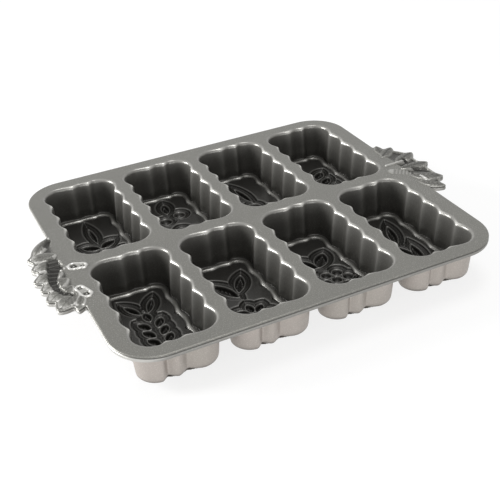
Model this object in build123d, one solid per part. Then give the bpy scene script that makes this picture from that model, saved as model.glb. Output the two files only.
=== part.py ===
from build123d import *
from math import cos, radians, sin
import os

# Mini loaf pan, one aluminium casting: a flat deck that carries eight lobed cups, two rows of four.
# +X runs from the left handle to the right one, +Y from the front edge to the back, +Z up.
# The origin is the centre of the footprint, on the surface that the pan stands on.

# Driving dimensions, in millimetres
COLUMNS = 4
ROWS = 2
WELL_WIDTH = 69.0  # at the deck's top face, across the widest lobes
WELL_LENGTH = 127.5
WELL_CORNER = 18.0
COLUMN_WEB = 8.3  # deck left between two columns of wells
ROW_WEB = 11.1

END_MARGIN = 14.55  # deck beyond the wells, left and right
SIDE_MARGIN = 12.45  # front and back
DECK_CORNER = 35.0
DECK_THICK = 3.5

RIM_WIDTH = 4.0  # band round the deck's edge
RIM_HEIGHT = 5.0
RIM_ROUND = 1.0

LIP = 1.0  # flat lip of each cup, let into the deck

RIM_BEVEL = 2.2  # rounding of the well's edge
LEDGE_DEPTH = 33.5
LEDGE_WIDTH = 5.0
DRAFT = 2.3  # how far the wall leans in between the bevel and the ledge
FLOOR_DROP = 1.5  # from the ledge to the floor
FLOOR_BEVEL = 1.5
WALL = 3.0
FOOT_ROUND = 4.3  # bevel round the foot of each cup, outside

SIDE_LOBES = 3  # between the corner lobes of a long wall
SIDE_CORNER_LOBE = 29.25  # length of a corner lobe along a long wall
END_WIDE_LOBE = 31.0  # corner lobes along a short wall, one wide and one narrow
END_NARROW_LOBE = 22.5
SIDE_RIDGE_HEIGHT = 3.2
END_RIDGE_HEIGHT = 2.0

POCKET_DEPTH = 6.0  # of the moulded figures, below the floor
POCKET_WALL = 2.4
POCKET_FLOOR = 3.0
FIGURE_WIDTH = 35.8  # room that the figures are drawn for, inside a floor
FIGURE_LENGTH = 96.7

LUG_REACH = 28.0  # handle lugs, beyond the deck
LUG_BASE_REACH = 21.0
LUG_BASE_LENGTH = 80.0
LUG_BASE_CORNER = 18.0
LEAF_SPAN = 80.0  # base length that the leaves' places are drawn for
LEAF_RAISE = 1.2
LEAF_MARGIN = 2.0

TENDRIL_RAISE = 0.8
TENDRIL_WIDTH = 1.8

# Worked out from the above
PITCH_X = WELL_WIDTH + COLUMN_WEB
PITCH_Y = WELL_LENGTH + ROW_WEB
DECK_LENGTH = COLUMNS * WELL_WIDTH + (COLUMNS - 1) * COLUMN_WEB + 2 * END_MARGIN
DECK_WIDTH = ROWS * WELL_LENGTH + (ROWS - 1) * ROW_WEB + 2 * SIDE_MARGIN
LUG_THICK = RIM_HEIGHT - RIM_ROUND
WALL_FOOT_INSET = RIM_BEVEL + DRAFT
LEDGE_EDGE_INSET = WALL_FOOT_INSET + LEDGE_WIDTH
FLOOR_INSET = LEDGE_EDGE_INSET + FLOOR_BEVEL
FLOOR_DEPTH = LEDGE_DEPTH + FLOOR_DROP
FLOOR_UNDER_DEPTH = FLOOR_DEPTH + WALL
OUTER_FOOT_INSET = WALL_FOOT_INSET - WALL
PAN_HEIGHT = FLOOR_DEPTH + POCKET_DEPTH + POCKET_FLOOR
DECK_TOP = PAN_HEIGHT

FIRST_SIDE_RIDGE = SIDE_CORNER_LOBE - WELL_LENGTH / 2
SIDE_RIDGES = [FIRST_SIDE_RIDGE * (1 - 2 * k / SIDE_LOBES) for k in range(SIDE_LOBES + 1)]
END_RIDGES = (END_WIDE_LOBE - WELL_WIDTH / 2, WELL_WIDTH / 2 - END_NARROW_LOBE)

ROOM_WIDTH = WELL_WIDTH - 2 * (FLOOR_INSET + SIDE_RIDGE_HEIGHT + POCKET_WALL)
ROOM_LENGTH = WELL_LENGTH - 2 * (FLOOR_INSET + END_RIDGE_HEIGHT + POCKET_WALL)
FIGURE_SCALE = min(ROOM_WIDTH / FIGURE_WIDTH, ROOM_LENGTH / FIGURE_LENGTH)


def disc(x, y, radius):
    """A round pocket: place and radius."""
    return lambda scale, grow: Pos(scale * x, scale * y) * Circle(scale * radius + grow)


def leaf(x, y, angle, length, width):
    """A pointed pocket: centre, direction in degrees, length and width."""

    def shape(scale, grow):
        half, belly = scale * length / 2 + grow, scale * width / 2 + grow
        upper = ThreePointArc((-half, 0), (0, belly), (half, 0))
        lower = ThreePointArc((half, 0), (0, -belly), (-half, 0))
        return Pos(scale * x, scale * y) * Rot(0, 0, angle) * make_face(upper + lower)

    return shape


def ring_of_leaves(x, y, reach, count, length, width, start=90.0):
    """Petals round a centre, with their middles at the given reach."""
    petals = []
    for k in range(count):
        turn = start + 360.0 * k / count
        px, py = x + reach * cos(radians(turn)), y + reach * sin(radians(turn))
        petals.append(leaf(px, py, turn, length, width))
    return petals


def grain_ear(x, y, rows, step, spread, length, width, lean):
    """An ear of grain: rows of paired grains under one at the tip."""
    grains = [leaf(x, y + rows * step, 90.0, length, width)]
    for k in range(rows):
        for side in (-1, 1):
            grains.append(leaf(x + side * spread, y + k * step, 90.0 - side * lean, length, width))
    return grains


def berry_cluster(x, y, radius, gap, rows):
    """Round berries in a triangle, widest row first, point down."""
    berries = []
    for row, count in enumerate(rows):
        for k in range(count):
            berries.append(disc(x + (k - (count - 1) / 2) * gap, y - row * gap * sin(radians(60)), radius))
    return berries


# The moulded figures, one for each cup, in the cup's own frame
FIGURES = {
    "front_1": (grain_ear(0, -36, 5, 11.0, 6.5, 14.0, 7.5, 32.0)
                + [leaf(8, 33, 62, 20, 6), leaf(-8, 33, 118, 20, 6)]),
    "front_2": (ring_of_leaves(0, -22, 10.0, 8, 12.5, 7.0)
                + [leaf(-7, 20, 115, 30, 10), leaf(8, 24, 62, 26, 9)]),
    "front_3": (berry_cluster(0, -2, 4.6, 10.6, (3, 4, 3, 2))
                + [leaf(-8, 21, 128, 24, 12), leaf(8, 21, 52, 24, 12)]),
    "front_4": [leaf(0, -16, 90, 44, 15), leaf(-9, -13, 104, 36, 9), leaf(9, -13, 76, 36, 9),
                leaf(-7, 24, 108, 34, 8), leaf(7, 24, 72, 34, 8)],
    "back_1": [leaf(0, -22, 90, 38, 15), leaf(-9, -18, 130, 26, 12), leaf(9, -18, 50, 26, 12),
               leaf(-8, 4, 150, 18, 9), leaf(8, 4, 30, 18, 9), leaf(0, 24, 90, 30, 5)],
    "back_2": (ring_of_leaves(0, -20, 9.5, 5, 14.0, 11.0)
               + [disc(-8, 13, 5.5), disc(8, 19, 5.5), leaf(0, 36, 80, 20, 8)]),
    "back_3": [disc(-8.5, -18, 8.0), disc(8.5, -18, 8.0), disc(0, -33, 8.0), disc(0, -4, 6.5),
               leaf(0, 22, 97, 34, 6)],
    "back_4": ([leaf(-8, -30 + 14 * k, 135, 19, 9) for k in range(4)]
               + [leaf(8, -23 + 14 * k, 45, 19, 9) for k in range(4)]),
}

# Leaves of the handles: distance out from the deck's edge, place along it, direction, length and width
HANDLE_LEAVES = {
    "left": ((9.0, 38.0, -50.0, 36.0, 12.0), (12.0, 22.0, 10.0, 26.0, 16.0), (12.0, 8.0, 0.0, 27.0, 17.0),
             (14.8, -9.0, -8.0, 27.0, 17.0), (13.0, -22.0, -14.0, 27.0, 17.0), (12.5, -36.0, -22.0, 28.0, 18.0),
             (10.0, -48.0, -38.0, 28.0, 17.0), (2.0, -54.0, -65.0, 22.0, 10.0)),
    "right": ((1.0, 44.0, 72.0, 24.0, 11.0), (5.0, 37.0, 36.0, 28.0, 13.0), (13.0, 19.0, 25.0, 32.0, 15.0),
              (12.0, 1.0, 0.0, 34.0, 15.0), (10.0, -22.0, -28.0, 32.0, 16.0), (5.0, -36.0, -45.0, 28.0, 13.0)),
}

# Raised curls beside the left handle: distance in from the deck's edge and place along it, radius,
# and the smaller curl's offset and radius
TENDRILS = ((9.0, -3.0, 4.6, (7.6, 1.2), 3.2), (7.5, -37.0, 4.4, (0.5, -7.4), 3.4))


def side_edges(start, end, out, ridges, height):
    """One wall of the lobed outline: arcs between the ridges, which point into the well."""
    along = (end - start).normalized()
    middle = (start + end) * 0.5
    tips = [middle + along * place - out * height for place in ridges]
    edges = [TangentArc(start, tips[0], tangent=along)]
    for k in range(len(ridges) - 1):
        crown = middle + along * ((ridges[k] + ridges[k + 1]) / 2)
        edges.append(ThreePointArc(tips[k], crown, tips[k + 1]))
    edges.append(TangentArc(end, tips[-1], tangent=-along))
    return edges


def well_face(inset, depth):
    """The lobed outline as a face, set in from the well's edge and below the deck."""
    z = DECK_TOP - depth
    half_x, half_y = WELL_WIDTH / 2 - inset, WELL_LENGTH / 2 - inset
    radius = WELL_CORNER - inset
    flat_x, flat_y = half_x - radius, half_y - radius
    slant = radius * cos(radians(45))
    edges = []
    edges += side_edges(Vector(half_x, -flat_y, z), Vector(half_x, flat_y, z), Vector(1, 0, 0),
                        SIDE_RIDGES, SIDE_RIDGE_HEIGHT)
    edges += side_edges(Vector(flat_x, half_y, z), Vector(-flat_x, half_y, z), Vector(0, 1, 0),
                        [-place for place in reversed(END_RIDGES)], END_RIDGE_HEIGHT)
    edges += side_edges(Vector(-half_x, flat_y, z), Vector(-half_x, -flat_y, z), Vector(-1, 0, 0),
                        SIDE_RIDGES, SIDE_RIDGE_HEIGHT)
    edges += side_edges(Vector(-flat_x, -half_y, z), Vector(flat_x, -half_y, z), Vector(0, -1, 0),
                        [-place for place in reversed(END_RIDGES)], END_RIDGE_HEIGHT)
    for sx, sy in ((1, 1), (-1, 1), (-1, -1), (1, -1)):
        on_side = Vector(sx * half_x, sy * flat_y, z)
        on_end = Vector(sx * flat_x, sy * half_y, z)
        corner = Vector(sx * (flat_x + slant), sy * (flat_y + slant), z)
        edges.append(ThreePointArc(on_side, corner, on_end))
    return Face(Wire(edges))


def well_loft(*levels):
    """A solid through lobed outlines, each given as inset and depth."""
    return loft([well_face(inset, depth) for inset, depth in levels], ruled=True)


def well_centre(column, row):
    return ((column - (COLUMNS - 1) / 2) * PITCH_X, (row - (ROWS - 1) / 2) * PITCH_Y)


def cup_shell():
    """Wall and ledge of one cup, open at the top and in the middle of the foot."""
    outer = well_loft((-LIP, 0), (-LIP, DECK_THICK), (OUTER_FOOT_INSET, LEDGE_DEPTH),
                      (OUTER_FOOT_INSET + FOOT_ROUND, FLOOR_UNDER_DEPTH))
    cavity = well_loft((0, 0), (RIM_BEVEL, RIM_BEVEL), (WALL_FOOT_INSET, LEDGE_DEPTH))
    step = well_loft((LEDGE_EDGE_INSET, LEDGE_DEPTH), (FLOOR_INSET, FLOOR_DEPTH))
    hole = well_loft((FLOOR_INSET, FLOOR_DEPTH), (FLOOR_INSET, FLOOR_UNDER_DEPTH))
    return outer - cavity - step - hole


def floor_panel(figure):
    """Floor of one cup, with the figure sunk into it and showing as pads below."""
    panel = well_loft((FLOOR_INSET, FLOOR_DEPTH), (FLOOR_INSET, FLOOR_UNDER_DEPTH))
    pads = Sketch() + [shape(FIGURE_SCALE, POCKET_WALL) for shape in figure]
    pockets = Sketch() + [shape(FIGURE_SCALE, 0) for shape in figure]
    panel += extrude(pads, DECK_TOP - FLOOR_UNDER_DEPTH)
    panel -= extrude(Pos(0, 0, DECK_TOP - FLOOR_DEPTH) * pockets, -POCKET_DEPTH)
    return panel


def deck_plate():
    length, width = DECK_LENGTH - 2 * RIM_WIDTH, DECK_WIDTH - 2 * RIM_WIDTH
    top = Pos(0, 0, DECK_TOP) * RectangleRounded(length, width, DECK_CORNER - RIM_WIDTH)
    plate = extrude(top, -DECK_THICK)
    hole = well_loft((-LIP, 0), (-LIP, DECK_THICK))
    for column in range(COLUMNS):
        for row in range(ROWS):
            plate -= Pos(*well_centre(column, row)) * hole
    return plate


def rim_band():
    """Band round the deck, deeper than the plate, with its lower outer edge rounded."""
    outer = extrude(RectangleRounded(DECK_LENGTH, DECK_WIDTH, DECK_CORNER), RIM_HEIGHT)
    outer = fillet(outer.edges().group_by(Axis.Z)[0], RIM_ROUND)
    inner = RectangleRounded(DECK_LENGTH - 2 * RIM_WIDTH, DECK_WIDTH - 2 * RIM_WIDTH, DECK_CORNER - RIM_WIDTH)
    return Pos(0, 0, DECK_TOP - RIM_HEIGHT) * (outer - extrude(inner, RIM_HEIGHT))


def handle_leaf_faces(side, grow):
    """The leaves of one handle, seen from above, mirrored on the left."""
    faces = Sketch()
    stretch = LUG_BASE_LENGTH / LEAF_SPAN
    for out, place, angle, length, width in HANDLE_LEAVES[side]:
        faces += leaf(DECK_LENGTH / 2 + out, stretch * place, angle, length, width)(1, grow)
    return mirror(faces, Plane.YZ) if side == "left" else faces


def handle_lug(side):
    """Flat lug whose edge follows the leaves on it."""
    sign = -1 if side == "left" else 1
    edge = sign * DECK_LENGTH / 2
    base = Pos(edge, 0) * RectangleRounded(2 * LUG_BASE_REACH, LUG_BASE_LENGTH, LUG_BASE_CORNER)
    room = Pos(edge + sign * LUG_REACH / 2, 0) * Rectangle(LUG_REACH, DECK_WIDTH - 2 * DECK_CORNER)
    outline = (base + handle_leaf_faces(side, 0)) & room
    return extrude(Pos(0, 0, DECK_TOP) * outline, -LUG_THICK)


def handle_leaves(side):
    """Raised blades of the leaves, a little smaller than the lug's tips."""
    return extrude(Pos(0, 0, DECK_TOP) * handle_leaf_faces(side, -LEAF_MARGIN), LEAF_RAISE)


def curl(x, y, radius):
    return Pos(x, y) * (Circle(radius) - Circle(radius - TENDRIL_WIDTH))


def deck_tendrils():
    """Two raised curls beside the left handle, each a large loop and a small one."""
    curls = Sketch()
    for inward, y, large, (dx, dy), small in TENDRILS:
        x = inward - DECK_LENGTH / 2
        curls += curl(x, y, large) + curl(x + dx, y + dy, small)
    return extrude(Pos(0, 0, DECK_TOP) * curls, TENDRIL_RAISE)


def write(part, node):
    export_step(part, f"parts/{node}.step")


def main():
    os.makedirs("parts", exist_ok=True)
    write(deck_plate(), "deck_plate")
    write(rim_band(), "rim_band")
    shell = cup_shell()
    for row, row_name in enumerate(("front", "back")):
        for column in range(COLUMNS):
            place = Pos(*well_centre(column, row))
            name = f"{row_name}_{column + 1}"
            write(place * shell, f"{row_name}_cup_{column + 1}")
            write(place * floor_panel(FIGURES[name]), f"{row_name}_floor_{column + 1}")
    for side in ("left", "right"):
        write(handle_lug(side), f"{side}_handle_lug")
        write(handle_leaves(side), f"{side}_handle_leaves")
    write(deck_tendrils(), "deck_tendrils")


if __name__ == "__main__":
    main()
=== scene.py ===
from math import cos, pi, radians, sin

import bpy
import numpy as np
from mathutils import Matrix, Vector
from mathutils.geometry import delaunay_2d_cdt


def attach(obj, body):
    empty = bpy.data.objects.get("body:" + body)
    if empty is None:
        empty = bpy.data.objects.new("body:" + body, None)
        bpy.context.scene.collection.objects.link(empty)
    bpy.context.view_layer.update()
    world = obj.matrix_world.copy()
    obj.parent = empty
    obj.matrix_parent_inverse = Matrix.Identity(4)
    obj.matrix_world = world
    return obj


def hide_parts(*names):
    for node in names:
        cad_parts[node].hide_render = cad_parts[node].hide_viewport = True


# Mini loaf pan: looks of the casting, its satin coating, its bare underside and the studio round it.
# Sizes are in millimetres, as in the part's source, and become metres where a mesh is made.
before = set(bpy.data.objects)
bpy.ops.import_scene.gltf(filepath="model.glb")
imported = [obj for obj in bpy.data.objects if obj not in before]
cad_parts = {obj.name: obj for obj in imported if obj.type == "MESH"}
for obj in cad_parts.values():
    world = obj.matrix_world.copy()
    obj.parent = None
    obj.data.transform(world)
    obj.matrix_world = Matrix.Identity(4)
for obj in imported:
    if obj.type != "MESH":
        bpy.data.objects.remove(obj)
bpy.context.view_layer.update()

MM = 0.001

# Sizes of the casting
COLUMNS, ROWS = 4, 2
WELL_WIDTH, WELL_LENGTH, WELL_CORNER = 69.0, 127.5, 18.0
PITCH_X, PITCH_Y = 77.3, 138.6
DECK_LENGTH, DECK_WIDTH, DECK_CORNER = 330.0, 291.0, 35.0
DECK_TOP, DECK_UNDER, BAND_UNDER = 44.0, 40.5, 39.0
BAND_WIDTH = 4.0
SIDE_RIDGES = (-34.5, -11.5, 11.5, 34.5)
END_RIDGES = (-3.5, 12.0)
HALF_LOBE = (SIDE_RIDGES[1] - SIDE_RIDGES[0]) / 2
SIDE_RIDGE_HEIGHT, END_RIDGE_HEIGHT = 3.2, 2.0
RIDGE_ROUND = 1.5
OUTER_END_RIDGE_HEIGHT = 2.6  # the end walls' lobes stand out more on the outside
FLOOR_TOP, PANEL_UNDER = 9.0, 6.0
FLOOR_EDGE_INSET, PANEL_EDGE_INSET = 10.3, 6.2
PANEL_SINK = 0.02  # keeps the panel's underside just clear of the cup's foot
POCKET_DEPTH, POCKET_WALL = 6.0, 2.4
# Shallow ribbed hollow round each figure, and the figures' veins
FIELD_DEPTH, FIELD_MARGIN, FIELD_RIB_PITCH, FIELD_SLOPE = 2.2, 5.6, 2.8, 1.5
VEIN_DEPTH, VEIN_PITCH = 1.5, 4.4
# Painted highlights on the floors' edges and ribs, how bright the pads' edges are, and painted shade in the
# floors' hollows
FIGURE_EDGE_PAINTED_HIGHLIGHT, FIELD_EDGE_PAINTED_HIGHLIGHT, FIELD_RIB_PAINTED_HIGHLIGHT, PAD_EDGE_BRIGHT = 0.42, 0.28, 0.26, 0.8
FIELD_PAINTED_SHADE, POCKET_PAINTED_SHADE = 0.3, 0.55
# Raised leaves and curls, and the sunk ground between the leaves
LEAF_RAISE = 1.2
# The sunk ground is painted dark, as painted shade.
GROUND_DEPTH, GROUND_PAINTED_SHADE = 1.6, 0.75
GROUND_START, GROUND_HALF_LENGTH = -1.0, 60.0  # out from the deck's edge, and along it
GROUND_FADE_OUTWARDS, GROUND_FADE_SIDEWAYS = 5.0, 10.0
TENDRIL_RAISE, TENDRIL_WIDTH = 1.1, 2.3
# The curls' wire and web are painted pale, as painted highlight.
TENDRIL_WEB_RAISE, TENDRIL_WEB_PAINTED_LIGHT = 0.3, 0.35
LUG_REACH, LUG_BASE_REACH, LUG_BASE_LENGTH, LUG_BASE_CORNER = 28.0, 21.0, 80.0, 18.0
# Where the handles' relief starts inside the deck's edge, and where its loose points lie
RELIEF_START = -22.0
RELIEF_INNER = {"left": 143.0, "right": 148.0}
RELIEF_HALF_LENGTH = 64.0
EDGE_CLEARANCE, WELL_CLEARANCE = 2.0, 1.6
# Where the skin is parted into deck and handles
PARTING_X, PARTING_HALF_LENGTH = 142.0, 66.0

# How finely the surfaces are cut
STEPS_AROUND = 640
FLOOR_STEP, RELIEF_STEP, OUTLINE_STEP, UNDERSIDE_STEP = 0.45, 0.7, 0.7, 2.0
CORNER_STEPS, FILLET_STEPS = 60, 64
SOFTER_LEFT, SOFTER_RIGHT = 12, 9  # rounds of easing on the handles' edges

# Wall of a well from the deck down to the floor: inset, depth, how pale that line is painted, by wear and
# as painted highlight on the rim and the ledge's edge, and share of the ridges' height
INSIDE_PROFILE = (
    (-1.0, 0.0, 0.0, 1.0), (-0.6, 0.0, 0.05, 1.0), (-0.25, 0.03, 0.2, 1.0), (0.15, 0.12, 0.45, 1.0),
    (0.6, 0.33, 0.6, 1.0), (1.05, 0.66, 0.6, 1.0), (1.45, 1.1, 0.5, 1.0), (1.75, 1.6, 0.35, 1.0),
    (2.0, 2.3, 0.2, 1.0), (2.15, 3.2, 0.1, 1.0), (2.5, 8.0, 0.05, 1.0), (3.0, 14.0, 0.0, 1.0),
    (3.45, 20.0, 0.0, 1.0), (3.95, 26.5, 0.0, 0.95), (4.3, 31.0, 0.0, 0.9), (4.45, 32.6, 0.0, 0.85),
    (4.7, 33.7, 0.0, 0.8), (5.1, 34.2, 0.0, 0.75), (5.6, 34.1, 0.0, 0.7), (6.1, 33.7, 0.0, 0.65),
    (6.7, 33.5, 0.0, 0.6), (7.5, 33.4, 0.05, 0.55), (8.3, 33.4, 0.15, 0.5), (9.0, 33.5, 0.35, 0.5),
    (9.6, 33.7, 0.45, 0.5), (10.1, 34.0, 0.4, 0.5), (10.5, 34.4, 0.25, 0.5), (10.8, 34.8, 0.1, 0.5),
    (11.0, 35.2, 0.0, 0.5), (11.1, 35.7, 0.0, 0.5),
)
# Outside of a cup from the deck's underside to its foot
OUTSIDE_PROFILE = (
    (-1.6, 3.2, 0.0, 1.0), (-1.3, 3.6, 0.0, 1.0), (-0.7, 4.3, 0.0, 1.1), (-0.45, 5.4, 0.0, 1.25),
    (-0.3, 7.0, 0.0, 1.4), (0.2, 13.0, 0.0, 1.55), (0.65, 20.0, 0.0, 1.6), (1.1, 27.0, 0.0, 1.6),
    (1.4, 31.0, 0.0, 1.6), (1.6, 33.0, 0.0, 1.6), (1.9, 34.5, 0.0, 1.65), (2.3, 35.3, 0.0, 1.95),
    (2.9, 36.1, 0.0, 2.2), (3.8, 37.0, 0.0, 2.3), (4.7, 37.6, 0.0, 2.2), (5.6, 37.93, 0.0, 2.1),
    (6.6, 37.97, 0.0, 2.0), (7.4, 37.6, 0.0, 1.9),
)
# Edge of the deck, as inset and height: rounded top edge, a fine parting groove, the band, its lower round
EDGE_PROFILE = (
    (1.5, 44.0), (1.1, 44.0), (0.75, 43.93), (0.4, 43.72), (0.15, 43.4), (0.05, 43.1), (0.15, 42.9),
    (0.9, 42.7), (0.9, 42.0), (0.15, 41.8), (0.0, 41.5), (0.0, 40.3), (0.12, 39.7), (0.45, 39.2),
    (1.0, 39.0), (1.4, 39.0),
)
COATED_EDGE_RINGS, BAND_EDGE_RINGS = 5, 14  # where the coating ends, and where the turned band ends
TOP_EDGE_WORN = (0.0, 0.05, 0.15, 0.2, 0.1)  # how rubbed the first lines of that edge are
# The parting groove is painted dark, as painted shade.
GROOVE_LOW, GROOVE_HIGH, GROOVE_PAINTED_SHADE = 42.0, 43.0, 0.6
BAND_BRIGHT, LEFT_BAND_PAINTED_LIGHT = 0.2, 0.8  # the band's own pale rubbing, and painted light where it faces left, towards the lamp
TOP, BAND, UNDER = 0, 1, 2  # finishes of the deck's skin, in the order of its materials


# Figures

def disc(x, y, radius):
    return ("disc", x, y, radius)


def leaf(x, y, angle, length, width):
    return ("leaf", x, y, angle, length, width)


def ring_of_leaves(x, y, reach, count, length, width):
    petals = []
    for k in range(count):
        turn = 90.0 + 360.0 * k / count
        out_x, out_y = reach * cos(radians(turn)), reach * sin(radians(turn))
        petals.append(leaf(x + out_x, y + out_y, turn, length, width))
    return petals


def grain_ear(x, y, rows, step, spread, length, width, lean):
    grains = [leaf(x, y + rows * step, 90.0, length, width)]
    for k in range(rows):
        for side in (-1, 1):
            grains.append(leaf(x + side * spread, y + k * step, 90.0 - side * lean, length, width))
    return grains


def berry_cluster(x, y, radius, gap, rows):
    berries = []
    for row, count in enumerate(rows):
        for k in range(count):
            berries.append(disc(x + (k - (count - 1) / 2) * gap, y - row * gap * sin(radians(60)), radius))
    return berries


# The sunk figure of each cup, in the cup's own frame
FIGURES = {
    "front_1": (grain_ear(0, -36, 5, 11.0, 6.5, 14.0, 7.5, 32.0)
                + [leaf(8, 33, 62, 20, 6), leaf(-8, 33, 118, 20, 6)]),
    "front_2": (ring_of_leaves(0, -22, 10.0, 8, 12.5, 7.0)
                + [leaf(-7, 20, 115, 30, 10), leaf(8, 24, 62, 26, 9)]),
    "front_3": (berry_cluster(0, -2, 4.6, 10.6, (3, 4, 3, 2))
                + [leaf(-8, 21, 128, 24, 12), leaf(8, 21, 52, 24, 12)]),
    "front_4": [leaf(0, -16, 90, 44, 15), leaf(-9, -13, 104, 36, 9), leaf(9, -13, 76, 36, 9),
                leaf(-7, 24, 108, 34, 8), leaf(7, 24, 72, 34, 8)],
    "back_1": [leaf(0, -22, 90, 38, 15), leaf(-9, -18, 130, 26, 12), leaf(9, -18, 50, 26, 12),
               leaf(-8, 4, 150, 18, 9), leaf(8, 4, 30, 18, 9), leaf(0, 24, 90, 30, 5)],
    "back_2": (ring_of_leaves(0, -20, 9.5, 5, 14.0, 11.0)
               + [disc(-8, 13, 5.5), disc(8, 19, 5.5), leaf(0, 36, 80, 20, 8)]),
    "back_3": [disc(-8.5, -18, 8.0), disc(8.5, -18, 8.0), disc(0, -33, 8.0), disc(0, -4, 6.5),
               leaf(0, 22, 97, 34, 6)],
    "back_4": ([leaf(-8, -30 + 14 * k, 135, 19, 9) for k in range(4)]
               + [leaf(8, -23 + 14 * k, 45, 19, 9) for k in range(4)]),
}

# Leaves of the handles: distance out from the deck's edge, place along it, direction, length and width
HANDLE_LEAVES = {
    "left": ((9.0, 38.0, -50.0, 36.0, 12.0), (12.0, 22.0, 10.0, 26.0, 16.0),
             (12.0, 8.0, 0.0, 27.0, 17.0), (14.8, -9.0, -8.0, 27.0, 17.0),
             (13.0, -22.0, -14.0, 27.0, 17.0), (12.5, -36.0, -22.0, 28.0, 18.0),
             (10.0, -48.0, -38.0, 28.0, 17.0), (2.0, -54.0, -65.0, 22.0, 10.0)),
    "right": ((1.0, 44.0, 72.0, 24.0, 11.0), (5.0, 37.0, 36.0, 28.0, 13.0),
              (13.0, 19.0, 25.0, 32.0, 15.0), (12.0, 1.0, 0.0, 34.0, 15.0),
              (10.0, -22.0, -28.0, 32.0, 16.0), (5.0, -36.0, -45.0, 28.0, 13.0)),
}
# Grooves and ridges of the handles. Each is a path of (distance out, place, half width), then its depth,
# below 0 for a ridge, the spacing of its flutes, 0 for none, and its painted highlight, below 0 painted shade
HANDLE_GROOVES = {
    "left": (
        (((5.5, 13.0, 5.5), (6.5, 3.0, 7.5), (11.0, -8.0, 5.0), (13.5, -18.0, 3.8), (13.0, -30.0, 3.0),
          (10.0, -38.0, 2.6), (4.0, -43.0, 2.2)), 3.3, 5.6, -1.0),
        (((-0.5, 46.0, 1.8), (4.5, 38.0, 2.6)), 1.6, 0.0, -0.8),
        (((2.5, -2.5, 2.2), (-3.5, -2.0, 2.2)), -0.7, 2.4, 0.8),
    ),
    "right": (
        (((11.0, 16.0, 2.4), (11.0, 9.0, 3.0)), 2.0, 0.0, -0.9),
        (((8.5, -3.5, 2.0), (13.0, -7.0, 3.0), (17.0, -12.0, 2.0)), 2.4, 0.0, -0.9),
        (((-11.5, 0.5, 5.5), (3.0, -11.0, 5.5)), -0.6, 3.2, 0.35),
        (((-11.0, 13.7, 1.5), (7.0, 13.6, 1.5)), -0.9, 0.0, 0.5),
        (((4.5, -20.0, 1.6), (6.0, -31.0, 1.6)), -1.0, 0.0, 0.9),
    ),
}
TIP_DROOP = {"left": 2.2, "right": 1.2}  # how far the leaves' tips bend down
# Painted light on the handles' leaves: highlight on tips and edges, shade on blades and in veins; left ones,
# facing the lamp, lighter
TIP_PAINTED_LIGHT = {"left": 0.9, "right": -0.1}
LEAF_EDGE_PAINTED_HIGHLIGHT = {"left": 0.85, "right": 0.55}
LEAF_PAINTED_SHADE = {"left": 0.12, "right": 0.32}
LEAF_VEIN_DEPTH, LEAF_VEIN_PITCH, LEAF_VEIN_PAINTED_SHADE = 0.8, 4.2, 0.35
# Curls beside the left handle, each a long loop with an eye at either end: distance in from the deck's
# edge, place and radius of its large end, then the small end's offset and radius
TENDRILS = ((7.3, -4.0, 5.4, (6.9, -2.2), 4.3), (5.2, -46.0, 5.2, (-2.6, 9.2), 4.4))


def smooth(t):
    t = np.clip(t, 0.0, 1.0)
    return t * t * (3 - 2 * t)


def bump_line(distance, width):
    return np.exp(-(distance / width) ** 2)


def leaf_frame(x, y, angle, length, width):
    """Place along a leaf, place across it, and how far inside its edge, for points given from its middle."""
    a = radians(angle)
    along, across = x * cos(a) + y * sin(a), y * cos(a) - x * sin(a)
    half, belly = length / 2, width / 2
    bow = (half * half + belly * belly) / (2 * belly)
    inside = bow - np.hypot(along, np.abs(across) + bow - belly)
    return along, across, inside


def leaf_veins(along, across, pitch):
    """Crest of a midrib and of slanting side veins, from 0 to 1."""
    side = 0.5 + 0.5 * np.cos(2 * pi * (along - 1.1 * np.abs(across)) / pitch)
    return np.maximum(bump_line(across, 0.75), 0.5 * side ** 3)


def figure_distance(shapes, x, y):
    """How far inside the nearest shape each point is, below 0 outside them all."""
    best = np.full(x.shape, -99.0)
    for kind, cx, cy, *size in shapes:
        if kind == "disc":
            inside = size[0] - np.hypot(x - cx, y - cy)
        else:
            inside = leaf_frame(x - cx, y - cy, *size)[2]
        best = np.maximum(best, inside)
    return best


def figure_depth(shapes, x, y):
    """Depth of the sunk figure: bowls for berries, veined blades for leaves."""
    away = figure_distance(shapes, x, y)
    ribs = 0.5 + 0.5 * np.cos(2 * pi * (away + FIELD_MARGIN) / FIELD_RIB_PITCH)
    depth = FIELD_DEPTH * smooth((away + FIELD_MARGIN) / FIELD_SLOPE) * (1 - 0.5 * ribs)
    for kind, cx, cy, *size in shapes:
        if kind == "disc":
            radius = size[0]
            inside = radius - np.hypot(x - cx, y - cy)
            edge = np.clip((inside + 0.3) / radius, 0, 1)
            own = POCKET_DEPTH * np.sqrt(np.clip(1 - (1 - edge) ** 2, 0, 1)) * smooth((inside + 0.4) / 0.9)
        else:
            along, across, inside = leaf_frame(x - cx, y - cy, *size)
            own = POCKET_DEPTH * smooth((inside + 0.35) / 2.1)
            own -= VEIN_DEPTH * leaf_veins(along, across, VEIN_PITCH) * smooth(inside / 1.6)
        depth = np.maximum(depth, own)
    return depth


# Outlines

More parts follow.
